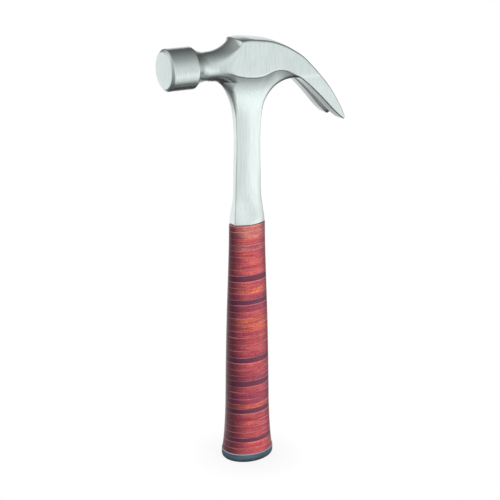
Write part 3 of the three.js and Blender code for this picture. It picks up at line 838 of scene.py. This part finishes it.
# The cap: an oval profile with a quarter round below and an eased upper rim, and a blind pocket.
# The underside and the pocket's floor close to a point in the middle.
def meshCap(spec):
    turn = np.linspace(0, np.pi / 2, spec["roundRings"])
    upper = turn[3::3]
    inset = np.concatenate([spec["round"] * (1 - np.sin(turn)), np.zeros(len(spec["wallHeights"])),
                            spec["topEdge"] * (1 - np.cos(upper))])
    height = np.concatenate([spec["round"] * (1 - np.cos(turn)), spec["wallHeights"],
                             spec["height"] - spec["topEdge"] * (1 - np.sin(upper))])
    angle = np.linspace(0, 2 * np.pi, spec["around"], endpoint=False)
    c, s = np.cos(angle), np.sin(angle)
    halfX, halfY = spec["half"]
    under = np.stack([0.5 * (halfX - spec["round"]) * c, 0.5 * (halfY - spec["round"]) * s,
                      0 * c], -1)
    wall = np.stack([(halfX - inset)[:, None] * c, (halfY - inset)[:, None] * s,
                     height[:, None] + 0 * c], -1)
    hold = boxOutline(angle, *spec["pocket"][:2])
    mouth = np.column_stack([hold, 0 * c + spec["height"]])
    floor = np.column_stack([hold, 0 * c + spec["pocket"][2]])
    grid = np.concatenate([under[None], wall, mouth[None], floor[None]])
    rows, columns = grid.shape[:2]
    body = ringFaces(rows, columns)[:(rows - 1) * columns]
    points = np.vstack([grid.reshape(-1, 3), [[0, 0, 0], [0, 0, spec["pocket"][2]]]])
    j = np.arange(columns)
    after = (j + 1) % columns
    base = (rows - 1) * columns
    lowFan = np.stack([0 * j + len(points) - 2, after, j], 1)
    highFan = np.stack([0 * j + len(points) - 1, base + j, base + after], 1)
    faces = np.vstack([body[:, [0, 1, 2]], body[:, [0, 2, 3]], lowFan, highFan])
    return points, faces


# Blue-grey steel with a painted highlight along its upper rim and painted shade on its lower edge.
def capMaterial(spec):
    material = bpy.data.materials.new("blueGreySteel")
    t = Tree(material)
    cloud = t.noise(t.place(spec["clouding"]), 1.0, detail=3.0, rough=0.55)
    height = t.node("ShaderNodeSeparateXYZ", {}, t.place(), out="Z")
    colour = t.mix(t.remap(cloud, 0.3, 0.7), *[seen(*tone) for tone in spec["tones"]])
    # painted highlight along the upper rim
    rim = t.remap(height, *spec["rimHighlightHeights"], 0.0, spec["rimShare"])
    colour = t.mix(rim, colour, seen(*spec["rimHighlightTone"]))
    # painted shade darkening the lower edge
    edge = t.remap(height, *spec["lowEdgeShadeHeights"], 0.0, spec["edgeShare"])
    colour = t.mix(edge, colour, seen(*spec["lowEdgeShadeTone"]))
    least, gain = spec["polish"]
    shader = t.node("ShaderNodeBsdfPrincipled", {}, Base_Color=colour, Metallic=spec["metallic"],
                    Roughness=least + cloud * gain)
    t.finish(shader)
    return material


points, faces = meshCap(cap)
capPiece = putMesh("endCap", points, faces, capMaterial(cap))
capPiece.data.set_sharp_from_angle(angle=math.radians(cap["sharpAngle"]))
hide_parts("butt_end_cap")
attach(capPiece, "root")
print("cap made")


# Floor, room and lamps
studio = {
    "floorRadius": 52.0,
    "floorDrop": 0.1,        # below the cap's flat side
    "floorAround": 96,
    "floorTone": (225, 225, 225),
    # two shares of the radius, and how white it is at each, to the camera and to metal and glass
    "floorWhite": (0.2, 0.9, 0.88, 1.0),
    "floorClear": (0.4, 0.9, 0.0, 0.3),
    "roomShade": 0.035,
    # soft lights of the room: azimuth, elevation, tightness and level
    "roomLights": [
        (-5, 8, 2.3, 0.98),
        (64, -14, 9.0, 0.84),
        (-120, 15, 4.0, 1.0),
        (32, -27, 26.0, 0.42),
        (40, -50, 20.0, 0.42),
        (38, -4, 14.0, 0.08),
        (149, 12, 45.0, 1.0),
        (80, 58, 4.0, 0.1),
    ],
    "backdrop": 192.0,       # azimuth of the white backdrop's middle
    "backdropSides": (0.2, 0.48),      # cosines of the angle from there between which it comes in
    "backdropTop": (0.14, -0.04),      # sines of the elevations between which it comes in
    "backdropFoot": (-0.72, -0.36),
    "ambient": 0.32,         # share of the room's light that falls on matte surfaces
    "depth": 0.45,           # share of it that is left straight below
    "depthHeights": (-0.98, -0.76),    # sines of the elevations over which it comes back
    "lamps": [
        # name, place, aim and size in metres, watts
        ("keyFront", (0.3, -1.45, 0.42), (0, 0, 0.16), (0.3, 0.7), 19.0),
        ("fillBack", (-0.75, 1.25, 0.5), (0, 0, 0.16), (0.6, 0.6), 11.0),
    ],
}


# A pale disc under the cap, a ring of points in one face. To the camera it is white apart from
# its shadow, and it fades in to the white background at its rim.
def makeFloor(spec):
    material = bpy.data.materials.new("paleFloor")
    t = Tree(material)
    matte = t.node("ShaderNodeBsdfPrincipled", {}, Base_Color=(*seen(*spec["floorTone"]), 1.0),
                   Roughness=1.0)
    glow = t.node("ShaderNodeEmission", {}, (1, 1, 1, 1), 1.0)
    away = t.node("ShaderNodeVectorMath", {"operation": "LENGTH"},
                  t.node("ShaderNodeTexCoord", {}, out="Object"), out="Value")
    away = away * (1.0 / (spec["floorRadius"] * mm))
    fade, clear = t.remap(away, *spec["floorWhite"]), t.remap(away, *spec["floorClear"])
    toCamera, glossy, through = t.rays("Camera", "Glossy", "Transmission")
    white = (toCamera * fade + (glossy + through) * clear).clamp()
    t.finish(t.node("ShaderNodeMixShader", {}, white, matte, glow))
    turn = np.linspace(0, 2 * np.pi, spec["floorAround"], endpoint=False)
    points = spec["floorRadius"] * np.stack([np.cos(turn), np.sin(turn), 0 * turn], 1)
    points[:, 2] = -spec["floorDrop"]
    floor = putMesh("floor", points, np.arange(len(turn))[None], material, smooth=False)


# The room: a dim shade, broad soft lights in front and a white backdrop behind. The camera sees
# white all round, and metal and glass see it where the backdrop stands. A light's level falls off
# as e to the power of its tightness times the cosine of the angle to it less one.
def makeWorld(spec):
    world = bpy.data.worlds.new("studioWorld")
    bpy.context.scene.world = world
    t = Tree(world)
    looking = t.node("ShaderNodeTexCoord", {})      # in a world, the way that a ray runs

    def facing(azimuth, elevation):
        return t.node("ShaderNodeVectorMath", {"operation": "DOT_PRODUCT"}, looking,
                      direction(azimuth, elevation), out="Value")

    level = spec["roomShade"]
    for azimuth, elevation, tightness, strength in spec["roomLights"]:
        glow = t.node("ShaderNodeMath", {"operation": "EXPONENT"},
                      (facing(azimuth, elevation) - 1.0) * tightness)
        level = glow * strength + level
    height = t.node("ShaderNodeSeparateXYZ", {}, looking, out="Z")
    behind = t.remap(facing(spec["backdrop"], 0), *spec["backdropSides"])
    behind = behind * t.remap(height, *spec["backdropTop"]) * t.remap(height, *spec["backdropFoot"])
    toCamera, diffuse, glossy, through = t.rays("Camera", "Diffuse", "Glossy", "Transmission")
    level = level * (1.0 - diffuse * (1.0 - spec["ambient"]))
    level = level * t.remap(height, *spec["depthHeights"], spec["depth"], 1.0)
    white = (toCamera + (glossy + through) * behind).clamp()
    sky = t.node("ShaderNodeBackground", {}, level * (1.0 - white) + white, 1.0)
    t.finish(sky, "ShaderNodeOutputWorld")


# A rectangular lamp, turned to its aim by the two angles of the way there: how far it leans from
# straight down, and how far round. Metal doesn't show it.
def makeLamp(name, place, aim, size, watts):
    data = bpy.data.lights.new(name, "AREA")
    data.shape = "RECTANGLE"
    data.size, data.size_y = size
    data.energy = watts
    lamp = bpy.data.objects.new(name, data)
    bpy.context.scene.collection.objects.link(lamp)
    lamp.location = place
    awayX, awayY, awayZ = np.array(place) - np.array(aim)
    lamp.rotation_euler = (math.atan2(math.hypot(awayX, awayY), awayZ), 0,
                           math.atan2(awayX, -awayY))
    lamp.visible_glossy = False


makeFloor(studio)
makeWorld(studio)
for lamp in studio["lamps"]:
    makeLamp(*lamp)
bpy.context.scene.view_settings.view_transform = "Standard"
print("studio ready")
